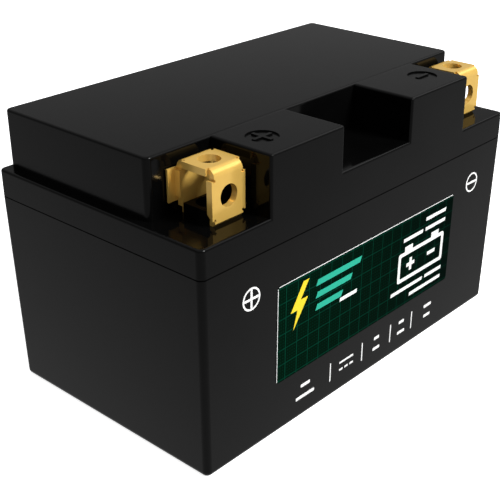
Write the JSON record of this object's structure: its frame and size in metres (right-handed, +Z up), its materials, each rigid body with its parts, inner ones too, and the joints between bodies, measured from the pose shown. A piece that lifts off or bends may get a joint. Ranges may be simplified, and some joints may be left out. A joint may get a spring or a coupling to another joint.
{
  "type": "motorcycle battery",
  "caption": "Sealed box-shaped starter battery with two front-corner box terminals, stepped lid, top cover and cells with lifting vent valves.",
  "frame": {"origin": "centre of the case's underside footprint, on the surface the battery stands on", "axes": "+X along the case towards the negative terminal, +Y towards the back, -Y is the labelled front, +Z up"},
  "size_m": [0.15, 0.087, 0.092],
  "materials": {
    "case_plastic": "satin moulded black with a very fine grain",
    "brass": "smooth rolled strip",
    "label_vinyl": "printed vinyl, dark green on black",
    "cap_rubber": "soft black rubber",
    "epoxy": "cast resin",
    "lead": "cast grey lead",
    "positive_plate": "pasted brown plate on a cast lead strap",
    "negative_plate": "pasted grey plate on a cast lead strap",
    "glass_mat": "absorbent white glass mat",
    "porous_disc": "sintered porous disc"
  },
  "bodies": {
    "battery": {"container": "case_plastic", "lid": "case_plastic", "top_cover": "case_plastic", "lid_bond": "epoxy", "flame_arrestor": "porous_disc", "front_label": "label_vinyl", "terminal_positive": "brass", "terminal_negative": "brass", "post_seal_positive": "epoxy", "post_seal_negative": "epoxy", "post_positive": "lead", "post_negative": "lead", "positive_group_1": "positive_plate", "negative_group_1": "negative_plate", "separators_1": "glass_mat", "positive_group_2": "positive_plate", "negative_group_2": "negative_plate", "separators_2": "glass_mat", "positive_group_3": "positive_plate", "negative_group_3": "negative_plate", "separators_3": "glass_mat", "positive_group_4": "positive_plate", "negative_group_4": "negative_plate", "separators_4": "glass_mat", "positive_group_5": "positive_plate", "negative_group_5": "negative_plate", "separators_5": "glass_mat", "positive_group_6": "positive_plate", "negative_group_6": "negative_plate", "separators_6": "glass_mat", "intercell_weld_1": "lead", "intercell_weld_2": "lead", "intercell_weld_3": "lead", "intercell_weld_4": "lead", "intercell_weld_5": "lead"},
    "valve_1": {"valve_cap_1": "cap_rubber"},
    "valve_2": {"valve_cap_2": "cap_rubber"},
    "valve_3": {"valve_cap_3": "cap_rubber"},
    "valve_4": {"valve_cap_4": "cap_rubber"},
    "valve_5": {"valve_cap_5": "cap_rubber"},
    "valve_6": {"valve_cap_6": "cap_rubber"}
  },
  "joints": [
    {"name": "valve_lift_1", "type": "slide", "parent": "battery", "child": "valve_1", "axis": [0, 0, 1], "range_m": [0, 0.0008], "stiffness_N_per_m": 300},
    {"name": "valve_lift_2", "type": "slide", "parent": "battery", "child": "valve_2", "axis": [0, 0, 1], "range_m": [0, 0.0008], "stiffness_N_per_m": 300},
    {"name": "valve_lift_3", "type": "slide", "parent": "battery", "child": "valve_3", "axis": [0, 0, 1], "range_m": [0, 0.0008], "stiffness_N_per_m": 300},
    {"name": "valve_lift_4", "type": "slide", "parent": "battery", "child": "valve_4", "axis": [0, 0, 1], "range_m": [0, 0.0008], "stiffness_N_per_m": 300},
    {"name": "valve_lift_5", "type": "slide", "parent": "battery", "child": "valve_5", "axis": [0, 0, 1], "range_m": [0, 0.0008], "stiffness_N_per_m": 300},
    {"name": "valve_lift_6", "type": "slide", "parent": "battery", "child": "valve_6", "axis": [0, 0, 1], "range_m": [0, 0.0008], "stiffness_N_per_m": 300}
  ]
}
